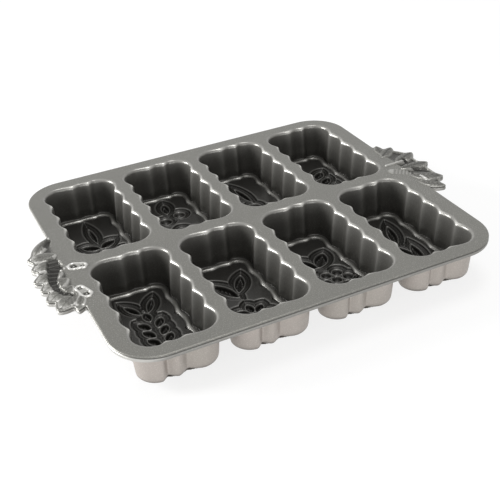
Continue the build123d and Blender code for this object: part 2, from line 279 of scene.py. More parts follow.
def ridge_height(x, y):
    """How far the ridges push the wall in, beside a point given in the well's frame."""
    side = (WELL_WIDTH / 2 - np.abs(x)) < (WELL_LENGTH / 2 - np.abs(y))
    sign = np.where(y > 0, 1.0, -1.0)
    near_side = np.min([np.abs(y - place) for place in SIDE_RIDGES], axis=0)
    on_side = SIDE_RIDGE_HEIGHT * np.clip(1 - near_side / HALF_LOBE, 0, 1) ** 2
    low, high = END_RIDGES
    flat = WELL_WIDTH / 2 - WELL_CORNER
    place = x * sign
    reach = np.where(place < low, flat + low, np.where(place > high, flat - high, (high - low) / 2))
    near_end = np.minimum(np.abs(place - low), np.abs(place - high))
    on_end = END_RIDGE_HEIGHT * np.clip(1 - near_end / reach, 0, 1) ** 2
    return np.where(side, on_side, on_end)


def inset_at(x, y):
    """How far inside the lobed outline a point is, in the well's frame."""
    qx, qy = np.abs(x) - WELL_WIDTH / 2 + WELL_CORNER, np.abs(y) - WELL_LENGTH / 2 + WELL_CORNER
    outside = np.hypot(np.maximum(qx, 0), np.maximum(qy, 0)) + np.minimum(np.maximum(qx, qy), 0)
    return WELL_CORNER - outside - ridge_height(x, y)


def rounded_rectangle(half_x, half_y, radius, step):
    """Points of a rounded rectangle, anticlockwise from the right side's upper end."""
    points = []
    for cx, cy, start in ((1, 1, 0), (-1, 1, 90), (-1, -1, 180), (1, -1, 270)):
        count = max(6, int(radius * pi / 2 / step))
        for k in range(count + 1):
            a = radians(start + 90.0 * k / count)
            points.append((cx * (half_x - radius) + radius * cos(a),
                           cy * (half_y - radius) + radius * sin(a)))
    return resample(np.array(points), step)


def resample(points, step):
    """The closed line through points, cut into even steps."""
    closed = np.vstack([points, points[:1]])
    lengths = np.hypot(*np.diff(closed, axis=0).T)
    run = np.concatenate([[0], np.cumsum(lengths)])
    at = np.linspace(0, run[-1], int(run[-1] / step), endpoint=False)
    return np.stack([np.interp(at, run, closed[:, 0]), np.interp(at, run, closed[:, 1])], -1)


def leaf_outline(out, place, angle, length, width):
    half, belly = length / 2, width / 2
    bow = (half * half + belly * belly) / (2 * belly)
    t = np.linspace(-half, half, 40)
    rise = np.sqrt(bow * bow - t * t) - (bow - belly)
    x, y = np.concatenate([t, t[::-1]]), np.concatenate([rise, -rise[::-1]])
    a = radians(angle)
    return np.stack([out + x * cos(a) - y * sin(a), place + x * sin(a) + y * cos(a)], -1)


def handle_reach(side):
    """Edge of a handle as seen from a point inside the deck: rays to the furthest leaf or lug edge."""
    eye, half_spread, rays = 15.0, 77.5, 900
    shapes = [leaf_outline(*leaf_sizes) for leaf_sizes in HANDLE_LEAVES[side]]
    shapes.append(rounded_rectangle(LUG_BASE_REACH, LUG_BASE_LENGTH / 2, LUG_BASE_CORNER, 1.0))
    angles = np.radians(np.linspace(-half_spread, half_spread, rays))
    direction = np.stack([np.cos(angles), np.sin(angles)], -1)
    reach = eye / direction[:, 0]
    for shape in shapes:
        start = shape + [eye, 0.0]
        span = np.roll(start, -1, axis=0) - start
        cross = direction[:, None, 0] * span[None, :, 1] - direction[:, None, 1] * span[None, :, 0]
        cross = np.where(np.abs(cross) < 1e-9, 1e-9, cross)
        far = (start[None, :, 0] * span[None, :, 1] - start[None, :, 1] * span[None, :, 0]) / cross
        part = (start[None, :, 0] * direction[:, None, 1] - start[None, :, 1] * direction[:, None, 0]) / cross
        hit = np.where((part >= 0) & (part <= 1), far, 0.0)
        reach = np.maximum(reach, hit.max(axis=1))
    reach = np.minimum(reach, (eye + LUG_REACH) / direction[:, 0])
    return direction * reach[:, None] - [eye, 0.0]


def deck_corner(cx, cy, start):
    """Arc round one corner of the deck, from a direction in degrees."""
    a = np.radians(start + np.linspace(0, 90, CORNER_STEPS))
    return np.stack([cx * (DECK_LENGTH / 2 - DECK_CORNER) + DECK_CORNER * np.cos(a),
                     cy * (DECK_WIDTH / 2 - DECK_CORNER) + DECK_CORNER * np.sin(a)], -1)


def deck_outline():
    """Edge of the deck with both handles, anticlockwise."""
    right = handle_reach("right") + [DECK_LENGTH / 2, 0.0]
    left = (handle_reach("left") + [DECK_LENGTH / 2, 0.0]) * [-1.0, 1.0]
    points = [right, deck_corner(1, 1, 0), deck_corner(-1, 1, 90),
              left[::-1], deck_corner(-1, -1, 180), deck_corner(1, -1, 270)]
    line = resample(np.vstack(points), OUTLINE_STEP)
    for turn in range(SOFTER_LEFT):
        eased = (np.roll(line, 1, axis=0) + 2 * line + np.roll(line, -1, axis=0)) / 4
        soft = (line[:, :1] < 0) | (turn < SOFTER_RIGHT)
        line = np.where(soft, eased, line)
    return line


def moved_in(line, distance):
    """A closed anticlockwise line moved towards its inside."""
    run = np.roll(line, -2, axis=0) - np.roll(line, 2, axis=0)
    run /= np.hypot(*run.T)[:, None]
    return line + distance * np.stack([-run[:, 1], run[:, 0]], -1)


def inside_line(points, line):
    """Which points lie inside a closed line."""
    result = np.zeros(len(points), bool)
    low, high = line.min(axis=0), line.max(axis=0)
    near = np.nonzero(((points > low) & (points < high)).all(axis=1))[0]
    px, py = points[near].T
    found = np.zeros(len(near), bool)
    for (ax, ay), (bx, by) in zip(line, np.roll(line, -1, axis=0)):
        if ay != by:
            crosses = (ay > py) != (by > py)
            found ^= crosses & (px < (bx - ax) * (py - ay) / (by - ay) + ax)
    result[near] = found
    return result


# Handles

def groove_at(path, out, place):
    """How far inside a tapering groove each point is, from 0 at its edge to 1, and the run along it."""
    share, run, start = np.zeros(out.shape), np.zeros(out.shape), 0.0
    for (ax, ay, width_a), (bx, by, width_b) in zip(path, path[1:]):
        dx, dy = bx - ax, by - ay
        span = np.hypot(dx, dy)
        t = np.clip(((out - ax) * dx + (place - ay) * dy) / span ** 2, 0, 1)
        away = np.hypot(out - ax - t * dx, place - ay - t * dy)
        own = 1 - away / (width_a + t * (width_b - width_a))
        run = np.where(own > share, start + t * span, run)
        share = np.maximum(share, own)
        start += span
    return share, run


def handle_relief(x, y):
    """Height of the relief over the deck's top, and its painted light: how bright (below 0, how dark, as
    shade) each point is.
    """
    height, rubbed = np.zeros(x.shape), np.zeros(x.shape)
    for side, sign in (("left", -1), ("right", 1)):
        out = sign * x - DECK_LENGTH / 2
        # the ground round the lug is sunk and painted dark, as painted shade
        on_lug = (smooth((out - GROUND_START) / GROUND_FADE_OUTWARDS)
                  * smooth((GROUND_HALF_LENGTH - np.abs(y)) / GROUND_FADE_SIDEWAYS))
        ground = -GROUND_DEPTH * on_lug
        blade, wear_and_light = ground.copy(), -GROUND_PAINTED_SHADE * on_lug
        for middle, place, angle, length, width in HANDLE_LEAVES[side]:
            along, across, inside = leaf_frame(out - middle, y - place, angle, length, width)
            crown = np.clip(1 - (across / (width / 2)) ** 2, 0, 1)
            tip = smooth((along / (length / 2) - 0.15) / 0.7)
            rise = smooth((inside - 0.3) / 1.6)
            own = ground + (LEAF_RAISE - TIP_DROOP[side] * tip - ground) * rise * (0.5 + 0.5 * crown)
            veins = leaf_veins(along, across, LEAF_VEIN_PITCH) * smooth((inside - 1.2) / 1.5)
            own -= LEAF_VEIN_DEPTH * veins
            # painted light on each leaf: highlight on its edge and tip, shade on its blade and in its veins
            tone = (LEAF_EDGE_PAINTED_HIGHLIGHT[side] * bump_line(inside - 1.5, 0.8) + TIP_PAINTED_LIGHT[side] * tip * rise
                    - LEAF_VEIN_PAINTED_SHADE * veins - LEAF_PAINTED_SHADE[side])
            wear_and_light = np.where(own > blade, tone, wear_and_light)
            blade = np.maximum(blade, own)
        for path, depth, pitch, tone in HANDLE_GROOVES[side]:
            share, run = groove_at(path, out, y)
            cut = smooth(share / 0.35)
            flutes = (0.5 + 0.5 * np.cos(2 * pi * run / pitch)) ** 2 if pitch else 0.0
            # a groove is painted dark as shade, a ridge painted pale as highlight, by its own value
            if depth > 0:
                blade = blade * (1 - cut) - depth * cut * (1 - 0.6 * flutes)
                wear_and_light = wear_and_light * (1 - cut) + cut * tone * (1 - 0.25 * flutes)
            else:
                crest = cut * flutes if pitch else cut
                blade, wear_and_light = blade - depth * crest, wear_and_light * (1 - crest) + tone * crest
        near = out > RELIEF_START
        height, rubbed = np.where(near, blade, height), np.where(near, wear_and_light, rubbed)
    for inward, place, large, (dx, dy), small in TENDRILS:
        from_x, from_y = x - inward + DECK_LENGTH / 2, y - place
        along = np.clip((from_x * dx + from_y * dy) / (dx * dx + dy * dy), 0, 1)
        radius = large + (small - large) * along
        inside = radius - np.hypot(from_x - along * dx, from_y - along * dy)
        wire = np.sqrt(np.clip(1 - (inside / (TENDRIL_WIDTH / 2) - 1) ** 2, 0, 1))
        web = smooth((inside - TENDRIL_WIDTH / 2) / 1.0)
        raised = np.maximum(TENDRIL_RAISE * wire, TENDRIL_WEB_RAISE * web)
        # painted highlight on the wire and its web
        tone = np.maximum(wire, TENDRIL_WEB_PAINTED_LIGHT * web)
        for eye_x, eye_y, eye_radius in ((0.0, 0.0, large - TENDRIL_WIDTH), (dx, dy, small - TENDRIL_WIDTH)):
            from_eye = np.hypot(from_x - eye_x, from_y - eye_y)
            eye, bead = smooth((eye_radius - from_eye) / 0.9), smooth((1.2 - from_eye) / 0.8)
            # each eye is sunk and painted dark as shade, its bead raised and painted pale as highlight
            raised = raised - 1.0 * eye + 1.1 * bead
            tone = tone - 1.3 * eye + 1.6 * bead
        height = np.where(inside > 0, raised, height)
        rubbed = np.where(inside > 0, tone, rubbed)
    return np.minimum(height, LEAF_RAISE), np.clip(rubbed, -1.0, 1.0)


# Node helpers

def add_node(tree, kind, sockets=None, **settings):
    """A node with its settings and with each named or numbered input linked or set."""
    node = tree.nodes.new(kind)
    for key, value in settings.items():
        setattr(node, key, value)
    for key, value in (sockets or {}).items():
        if isinstance(value, bpy.types.NodeSocket):
            tree.links.new(value, node.inputs[key])
        else:
            node.inputs[key].default_value = value
    return node


def maths(tree, operation, a, b=0.0, clamp=False):
    return add_node(tree, "ShaderNodeMath", {0: a, 1: b}, operation=operation, use_clamp=clamp).outputs[0]


def vector_maths(tree, operation, sockets, output=0):
    return add_node(tree, "ShaderNodeVectorMath", sockets, operation=operation).outputs[output]


def mix_colours(tree, factor, first, second):
    return add_node(tree, "ShaderNodeMix", {0: factor, 6: first, 7: second}, data_type="RGBA").outputs[2]


def new_group(name, kind, inputs, outputs):
    """An empty node group with named sockets. Returns the tree, its input node and its output node."""
    tree = bpy.data.node_groups.new(name, kind)
    for label, socket, value in inputs:
        made = tree.interface.new_socket(label, in_out="INPUT", socket_type=socket)
        if value is not None:
            made.default_value = value
    for label, socket in outputs:
        tree.interface.new_socket(label, in_out="OUTPUT", socket_type=socket)
    return tree, tree.nodes.new("NodeGroupInput"), tree.nodes.new("NodeGroupOutput")


# Finishes

def cast_grain_group():
    """Fine grain of a sand-blasted casting: a height for bumps, a speckle and slow clouding."""
    tree, given, out = new_group(
        "Cast grain", "ShaderNodeTree",
        [("Place", "NodeSocketVector", None), ("Grain Size", "NodeSocketFloat", 1.0),
         ("Pitting", "NodeSocketFloat", 0.3)],
        [("Height", "NodeSocketFloat"), ("Speckle", "NodeSocketFloat"), ("Cloud", "NodeSocketFloat")])
    per_metre = maths(tree, "DIVIDE", 1000.0, given.outputs["Grain Size"])
    fine = add_node(tree, "ShaderNodeTexNoise", {"Vector": given.outputs["Place"], "Scale": per_metre,
                                                 "Detail": 3.0, "Roughness": 0.6})
    coarse = add_node(tree, "ShaderNodeTexNoise", {"Vector": given.outputs["Place"], "Scale": 22.0,
                                                   "Detail": 3.0, "Roughness": 0.55})
    pits_scale = maths(tree, "MULTIPLY", per_metre, 0.6)
    pits = add_node(tree, "ShaderNodeTexVoronoi", {"Vector": given.outputs["Place"], "Scale": pits_scale})
    hollow = add_node(tree, "ShaderNodeMapRange", {"Value": pits.outputs["Distance"], "From Min": 0.0,
                                                   "From Max": 0.35, "To Min": -1.0, "To Max": 0.0})
    sunk = maths(tree, "MULTIPLY", hollow.outputs[0], given.outputs["Pitting"])
    height = maths(tree, "ADD", fine.outputs[0], sunk)
    speckle = add_node(tree, "ShaderNodeMapRange", {"Value": fine.outputs[0], "From Min": 0.52,
                                                    "From Max": 0.72, "To Min": 0.0, "To Max": 1.0})
    tree.links.new(height, out.inputs["Height"])
    tree.links.new(speckle.outputs[0], out.inputs["Speckle"])
    tree.links.new(coarse.outputs[0], out.inputs["Cloud"])
    return tree


def edge_wear_and_painted_highlight_group():
    """Where edges are painted pale, by wear and as painted highlight: the piece's own value, broken up by
    noise.
    """
    tree, given, out = new_group(
        "Edge wear and painted highlights", "ShaderNodeTree",
        [("Place", "NodeSocketVector", None), ("Wear And Painted Light", "NodeSocketFloat", 0.0),
         ("Amount", "NodeSocketFloat", 0.6), ("Breakup", "NodeSocketFloat", 0.4)],
        [("Mask", "NodeSocketFloat")])
    patches = add_node(tree, "ShaderNodeTexNoise", {"Vector": given.outputs["Place"], "Scale": 160.0,
                                                    "Detail": 4.0, "Roughness": 0.6})
    broken_up = maths(tree, "MULTIPLY", patches.outputs[0], given.outputs["Breakup"])
    broken = maths(tree, "SUBTRACT", 1.0, broken_up)
    strength = maths(tree, "MULTIPLY", given.outputs["Wear And Painted Light"], given.outputs["Amount"])
    tree.links.new(maths(tree, "MULTIPLY", strength, broken, clamp=True), out.inputs["Mask"])
    return tree


CAST_GRAIN = cast_grain_group()
EDGE_WEAR_AND_PAINTED_HIGHLIGHTS = edge_wear_and_painted_highlight_group()
PAINTED_SHADE_TONE = (0.016, 0.015, 0.013, 1)  # painted shade: the dark put in hollows, grooves and creases
GRAIN_BUMP = 0.0003  # metres


def metal_finish(name, colour, shade, bright, metallic, rough, worn_rough, grain, pitting, wear, bump, dust):
    """A cast metal finish: two clouded tones, speckle, worn edges with painted highlight, painted shade in
    hollows and a fine bump.
    """
    material = bpy.data.materials.new(name)
    material.use_nodes = True
    tree = material.node_tree
    surface = tree.nodes["Principled BSDF"]
    place = add_node(tree, "ShaderNodeTexCoord").outputs["Object"]
    rubbed = add_node(tree, "ShaderNodeAttribute", attribute_name="rubbed").outputs["Fac"]
    casting = add_node(tree, "ShaderNodeGroup", node_tree=CAST_GRAIN)
    tree.links.new(place, casting.inputs["Place"])
    casting.inputs["Grain Size"].default_value = grain
    casting.inputs["Pitting"].default_value = pitting
    wear_and_light = add_node(tree, "ShaderNodeGroup", node_tree=EDGE_WEAR_AND_PAINTED_HIGHLIGHTS)
    tree.links.new(place, wear_and_light.inputs["Place"])
    tree.links.new(rubbed, wear_and_light.inputs["Wear And Painted Light"])
    wear_and_light.inputs["Amount"].default_value = wear
    clouded = mix_colours(tree, casting.outputs["Cloud"], colour, shade)
    dusted = maths(tree, "MULTIPLY", casting.outputs["Speckle"], dust)
    speckled = mix_colours(tree, dusted, clouded, bright)
    paler = mix_colours(tree, wear_and_light.outputs["Mask"], speckled, bright)
    # painted shade: values below 0 darken the colour towards the dark of hollows
    hollow = maths(tree, "MULTIPLY", rubbed, -1.0, clamp=True)
    tree.links.new(mix_colours(tree, hollow, paler, PAINTED_SHADE_TONE), surface.inputs["Base Color"])
    polish = add_node(tree, "ShaderNodeMapRange", {"Value": wear_and_light.outputs["Mask"], "To Min": rough,
                                                   "To Max": worn_rough})
    uneven = maths(tree, "MULTIPLY", casting.outputs["Cloud"], 0.08)
    tree.links.new(maths(tree, "ADD", polish.outputs[0], uneven), surface.inputs["Roughness"])
    surface.inputs["Metallic"].default_value = metallic
    relief = add_node(tree, "ShaderNodeBump", {"Height": casting.outputs["Height"], "Strength": bump,
                                               "Distance": GRAIN_BUMP})
    tree.links.new(relief.outputs[0], surface.inputs["Normal"])
    return material


COATING = metal_finish(
    "Satin grey coating", colour=(0.18, 0.177, 0.16, 1), shade=(0.15, 0.148, 0.135, 1),
    bright=(0.62, 0.61, 0.57, 1), metallic=0.55, rough=0.34, worn_rough=0.22, grain=0.9, pitting=0.1,
    wear=0.5, bump=0.22, dust=0.3)
# Painted shade: the wells and their floors carry the deck's coating in darker copies, for the shade inside
# the wells.
WELL_COATING_WITH_PAINTED_SHADE = metal_finish(
    "Coating in the wells, painted darker as shade", colour=(0.076, 0.073, 0.065, 1), shade=(0.058, 0.056, 0.05, 1),
    bright=(0.72, 0.71, 0.67, 1), metallic=0.45, rough=0.27, worn_rough=0.2, grain=0.9, pitting=0.1,
    wear=0.7, bump=0.16, dust=0.08)
FLOOR_COATING_WITH_PAINTED_SHADE = metal_finish(
    "Coating on the sunk figures, painted darker as shade", colour=(0.03, 0.0285, 0.025, 1), shade=(0.02, 0.019, 0.017, 1),
    bright=(0.6, 0.59, 0.56, 1), metallic=0.5, rough=0.3, worn_rough=0.2, grain=0.9, pitting=0.1,
    wear=0.75, bump=0.2, dust=0.08)
BAND_FINISH = metal_finish(
    "Turned edge of the band", colour=(0.22, 0.215, 0.2, 1), shade=(0.18, 0.177, 0.165, 1),
    bright=(0.66, 0.65, 0.62, 1), metallic=0.6, rough=0.4, worn_rough=0.3, grain=0.9, pitting=0.2,
    wear=1.0, bump=0.3, dust=0.2)
BARE_CAST = metal_finish(
    "Bare cast aluminium", colour=(0.5, 0.445, 0.415, 1), shade=(0.37, 0.35, 0.315, 1),
    bright=(0.8, 0.77, 0.73, 1), metallic=0.6, rough=0.46, worn_rough=0.35, grain=0.8, pitting=0.5,
    wear=0.3, bump=0.7, dust=0.35)
HANDLE_FINISH = metal_finish(
    "Handle relief with wear and painted light", colour=(0.18, 0.177, 0.16, 1), shade=(0.15, 0.148, 0.135, 1),
    bright=(0.78, 0.77, 0.74, 1), metallic=0.55, rough=0.34, worn_rough=0.2, grain=0.9, pitting=0.1,
    wear=0.95, bump=0.25, dust=0.3)


# Meshes

def make_mesh(name, points, faces, rubbed, materials, face_materials):
    """A smooth mesh from points in millimetres, with its value of wear and painted light at each point."""
    mesh = bpy.data.meshes.new(name)
    mesh.from_pydata((np.asarray(points) * MM).tolist(), [], faces)
    value = mesh.attributes.new("rubbed", "FLOAT", "POINT")
    value.data.foreach_set("value", np.asarray(rubbed, np.float32))
    for material in materials:
        mesh.materials.append(material)
    mesh.polygons.foreach_set("material_index", np.asarray(face_materials, np.int32))
    mesh.polygons.foreach_set("use_smooth", np.ones(len(mesh.polygons), bool))
    mesh.update()
    return mesh


def place_piece(name, mesh, nodes):
    """Puts a finished mesh in the scene, riding the casting and standing for its solids."""
    piece = bpy.data.objects.new(name, mesh)
    bpy.context.scene.collection.objects.link(piece)
    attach(piece, "root")
    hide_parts(*nodes)


# Lobed walls

def ridge_marks(end_height):
    """Points on the wall line where the ridges stand, with height and reach before and after."""
    flat_x = WELL_WIDTH / 2 - WELL_CORNER
    low, high = END_RIDGES
    middle = (high - low) / 2
    points, heights, before, after = [], [], [], []
    for sign in (1, -1):
        for place in SIDE_RIDGES:
            points.append((sign * WELL_WIDTH / 2 * MM, sign * place * MM, 0.0))
            heights.append(SIDE_RIDGE_HEIGHT * MM)
            before.append(HALF_LOBE * MM)
            after.append(HALF_LOBE * MM)
        for place, towards_low, towards_high in ((low, flat_x + low, middle), (high, middle, flat_x - high)):
            points.append((sign * place * MM, sign * WELL_LENGTH / 2 * MM, 0.0))
            heights.append(end_height * MM)
            before.append(towards_high * MM)
            after.append(towards_low * MM)
    mesh = bpy.data.meshes.new("ridge marks")
    mesh.from_pydata(points, [], [])
    for name, values in (("height", heights), ("before", before), ("after", after)):
        mesh.attributes.new(name, "FLOAT", "POINT").data.foreach_set("value", values)
    marks = bpy.data.objects.new("ridge marks", mesh)
    bpy.context.scene.collection.objects.link(marks)
    return marks


def value_at(tree, geometry, attribute, index):
    """A value that one point of a geometry carries."""
    named = add_node(tree, "GeometryNodeInputNamedAttribute", {"Name": attribute}, data_type="FLOAT")
    return add_node(tree, "GeometryNodeSampleIndex",
                    {"Geometry": geometry, "Value": named.outputs[0], "Index": index},
                    data_type="FLOAT").outputs[0]


def place_of(tree, geometry, index):
    """Where one point of a geometry stands."""
    position = add_node(tree, "GeometryNodeInputPosition").outputs[0]
    return add_node(tree, "GeometryNodeSampleIndex",
                    {"Geometry": geometry, "Value": position, "Index": index},
                    data_type="FLOAT_VECTOR").outputs[0]


def lobed_wall_tree():
    """Sweeps a profile round a rounded rectangle whose line is pushed in at each ridge."""
    tree, given, out = new_group(
        "Lobed wall", "GeometryNodeTree",
        [("Profile", "NodeSocketGeometry", None), ("Ridge Marks", "NodeSocketObject", None),
         ("Well Width", "NodeSocketFloat", WELL_WIDTH * MM),
         ("Well Length", "NodeSocketFloat", WELL_LENGTH * MM),
         ("Corner Radius", "NodeSocketFloat", WELL_CORNER * MM),
         ("Ridge Round", "NodeSocketFloat", RIDGE_ROUND * MM), ("Painted Ridge Stripe Strength", "NodeSocketFloat", 0.2),
         ("Deck Height", "NodeSocketFloat", DECK_TOP * MM), ("Steps Around", "NodeSocketInt", STEPS_AROUND),
         ("Profile Points", "NodeSocketInt", 20), ("Faces Inwards", "NodeSocketBool", True),
         ("Finish", "NodeSocketMaterial", None)],
        [("Wall", "NodeSocketGeometry")])
    sizes = given.outputs
    steps, profile = sizes["Steps Around"], sizes["Profile"]
    rectangle = add_node(tree, "GeometryNodeCurvePrimitiveQuadrilateral",
                         {"Width": sizes["Well Width"], "Height": sizes["Well Length"]})
    fine = add_node(tree, "GeometryNodeFilletCurve", {"Curve": rectangle.outputs[0], "Count": FILLET_STEPS,
                                                      "Radius": sizes["Corner Radius"]}, mode="POLY")
    segments = maths(tree, "SUBTRACT", sizes["Profile Points"], 1.0)
    tube = add_node(tree, "GeometryNodeMeshCylinder", {"Vertices": steps, "Side Segments": segments,
                                                       "Radius": 1.0, "Depth": 1.0}, fill_type="NONE")
    index = add_node(tree, "GeometryNodeInputIndex").outputs[0]
    level = maths(tree, "FLOOR", maths(tree, "DIVIDE", maths(tree, "ADD", index, 0.5), steps))
    turn = maths(tree, "DIVIDE", maths(tree, "SUBTRACT", index, maths(tree, "MULTIPLY", level, steps)), steps)
    line = add_node(tree, "GeometryNodeSampleCurve", {"Curves": fine.outputs[0], "Factor": turn},
                    mode="FACTOR", use_all_curves=False)
    # inward direction: across the line, towards the middle
    position = line.outputs["Position"]
    across = vector_maths(tree, "CROSS_PRODUCT", {0: (0, 0, 1), 1: line.outputs["Tangent"]})
    facing = vector_maths(tree, "DOT_PRODUCT", {0: across, 1: position}, "Value")
    sense = maths(tree, "MULTIPLY", maths(tree, "SIGN", facing), -1.0)
    inward = vector_maths(tree, "SCALE", {0: across, "Scale": sense})
    # ridge push: nearest mark, distance from it, reach on that side of it
    marks = add_node(tree, "GeometryNodeObjectInfo", {"Object": sizes["Ridge Marks"]}).outputs["Geometry"]
    nearest = add_node(tree, "GeometryNodeSampleNearest", {"Geometry": marks, "Sample Position": position},
                       domain="POINT").outputs[0]
    gap = vector_maths(tree, "SUBTRACT", {0: position, 1: place_of(tree, marks, nearest)})
    distance = vector_maths(tree, "LENGTH", {0: gap}, "Value")
    # anticlockwise direction at the line, whichever way the rectangle runs
    ahead = vector_maths(tree, "CROSS_PRODUCT", {0: inward, 1: (0, 0, 1)})
    past = vector_maths(tree, "DOT_PRODUCT", {0: gap, 1: ahead}, "Value")
    is_after = maths(tree, "GREATER_THAN", past, 0.0)
    reach_before = value_at(tree, marks, "before", nearest)
    reach_after = value_at(tree, marks, "after", nearest)
    reach = add_node(tree, "ShaderNodeMix", {0: is_after, 2: reach_before, 3: reach_after}).outputs[0]
    rounding = sizes["Ridge Round"]
    squared = maths(tree, "ADD", maths(tree, "MULTIPLY", distance, distance),
                    maths(tree, "MULTIPLY", rounding, rounding))
    eased = maths(tree, "SUBTRACT", maths(tree, "SQRT", squared), rounding)
    slope = maths(tree, "SUBTRACT", 1.0, maths(tree, "DIVIDE", eased, reach), clamp=True)
    ridge = value_at(tree, marks, "height", nearest)
    push = maths(tree, "MULTIPLY", maths(tree, "MULTIPLY", slope, slope), ridge)
    # the profile's own point at this level: x is the inset, y the depth
    own = add_node(tree, "ShaderNodeSeparateXYZ", {0: place_of(tree, profile, level)}).outputs
    share = value_at(tree, profile, "lobing", level)
    total = maths(tree, "ADD", own[0], maths(tree, "MULTIPLY", push, share))
    moved = vector_maths(tree, "SCALE", {0: inward, "Scale": total})
    flat = vector_maths(tree, "ADD", {0: position, 1: moved})
    across = add_node(tree, "ShaderNodeSeparateXYZ", {0: flat}).outputs
    height = maths(tree, "SUBTRACT", sizes["Deck Height"], own[1])
    point = add_node(tree, "ShaderNodeCombineXYZ", {0: across[0], 1: across[1], 2: height}).outputs[0]
    laid = add_node(tree, "GeometryNodeSetPosition", {"Geometry": tube.outputs[0], "Position": point})
    # wear and painted light: the profile's own, with painted highlight at ridge tips and faintly down each
    # ridge
    wear_and_light = value_at(tree, profile, "edge", level)
    crest = maths(tree, "ADD", 0.35, maths(tree, "MULTIPLY", maths(tree, "POWER", slope, 3.0), 1.3))
    painted_ridge_stripe = maths(tree, "MULTIPLY", maths(tree, "POWER", slope, 5.0), sizes["Painted Ridge Stripe Strength"])
    tone = maths(tree, "ADD", painted_ridge_stripe, value_at(tree, profile, "tone", level))
    rubbed = maths(tree, "ADD", maths(tree, "MULTIPLY", wear_and_light, crest), tone)
    stored = add_node(tree, "GeometryNodeStoreNamedAttribute",
                      {"Geometry": laid.outputs[0], "Name": "rubbed", "Value": rubbed},
                      data_type="FLOAT", domain="POINT").outputs[0]
    flipped = add_node(tree, "GeometryNodeFlipFaces", {"Mesh": stored, "Selection": sizes["Faces Inwards"]})
    rounded_off = add_node(tree, "GeometryNodeSetShadeSmooth", {"Geometry": flipped.outputs[0]})
    real = add_node(tree, "GeometryNodeRealizeInstances", {"Geometry": rounded_off.outputs[0]})
    finished = add_node(tree, "GeometryNodeSetMaterial", {"Geometry": real.outputs[0],
                                                          "Material": sizes["Finish"]})
    tree.links.new(finished.outputs[0], out.inputs["Wall"])
    return tree


def grow(tree, host, values):
    """Runs a tree on an object with its named inputs set, and returns the result as a plain mesh."""
    modifier = host.modifiers.new(tree.name, "NODES")
    modifier.node_group = tree
    names = {item.name: item.identifier for item in tree.interface.items_tree if item.in_out == "INPUT"}
    for label, value in values.items():
        modifier[names[label]] = value
    host.update_tag()
    graph = bpy.context.evaluated_depsgraph_get()
    graph.update()
    mesh = bpy.data.meshes.new_from_object(host.evaluated_get(graph), preserve_all_data_layers=True,
                                           depsgraph=graph)
    host.modifiers.remove(modifier)
    return mesh


def inside_painted_light(inset, depth):
    """Painted light: paler towards the well's mouth, where more light falls, and painted shade in the crease
    at the wall's foot.
    """
    crease = bump_line(inset - 5.1, 0.7) if depth > 30.0 else 0.0
    return 0.3 * np.exp(-depth / 12.0) - 0.8 * crease


def outside_painted_shade(inset, depth):
    """Painted shade: darker round the foot of the cup."""
    return -0.5 * float(smooth((depth - 32.5) / 3.5))


def lobed_wall(name, tree, marks, profile, tone, inwards, painted_stripe_strength, finish):
    """One lobed wall, from its profile."""
    mesh = bpy.data.meshes.new(name)
    mesh.from_pydata([(inset * MM, depth * MM, 0.0) for inset, depth, _, _ in profile], [], [])
    values = {"edge": [row[2] for row in profile], "lobing": [row[3] for row in profile],
              "tone": [tone(inset, depth) for inset, depth, _, _ in profile]}
    for attribute, column in values.items():
        mesh.attributes.new(attribute, "FLOAT", "POINT").data.foreach_set("value", column)
    host = bpy.data.objects.new(name, mesh)
    bpy.context.scene.collection.objects.link(host)
    wall = grow(tree, host, {
        "Ridge Marks": marks, "Well Width": WELL_WIDTH * MM, "Well Length": WELL_LENGTH * MM,
        "Corner Radius": WELL_CORNER * MM, "Ridge Round": RIDGE_ROUND * MM,
        "Painted Ridge Stripe Strength": painted_stripe_strength, "Deck Height": DECK_TOP * MM,
        "Steps Around": STEPS_AROUND, "Profile Points": len(profile), "Faces Inwards": inwards,
        "Finish": finish})
    bpy.data.objects.remove(host)
    return wall


def arrays_of(mesh):
    """Points in millimetres, four-cornered faces and values of wear and painted light of a wall."""
    points = np.zeros(len(mesh.vertices) * 3, np.float32)
    mesh.vertices.foreach_get("co", points)
    corners = np.zeros(len(mesh.loops), np.int32)
    mesh.loops.foreach_get("vertex_index", corners)
    rubbed = np.zeros(len(mesh.vertices), np.float32)
    mesh.attributes["rubbed"].data.foreach_get("value", rubbed)
    return points.reshape(-1, 3) / MM, corners.reshape(-1, 4), rubbed


def well_centre(column, row):
    return np.array([(column - (COLUMNS - 1) / 2) * PITCH_X, (row - (ROWS - 1) / 2) * PITCH_Y, 0.0])


def highest_ring(points):
    """The ring of a wall that stands highest, as seen from above."""
    levels = points[:, 2].reshape(-1, STEPS_AROUND).mean(axis=1)
    first = int(np.argmax(levels)) * STEPS_AROUND
    return points[first:first + STEPS_AROUND, :2]


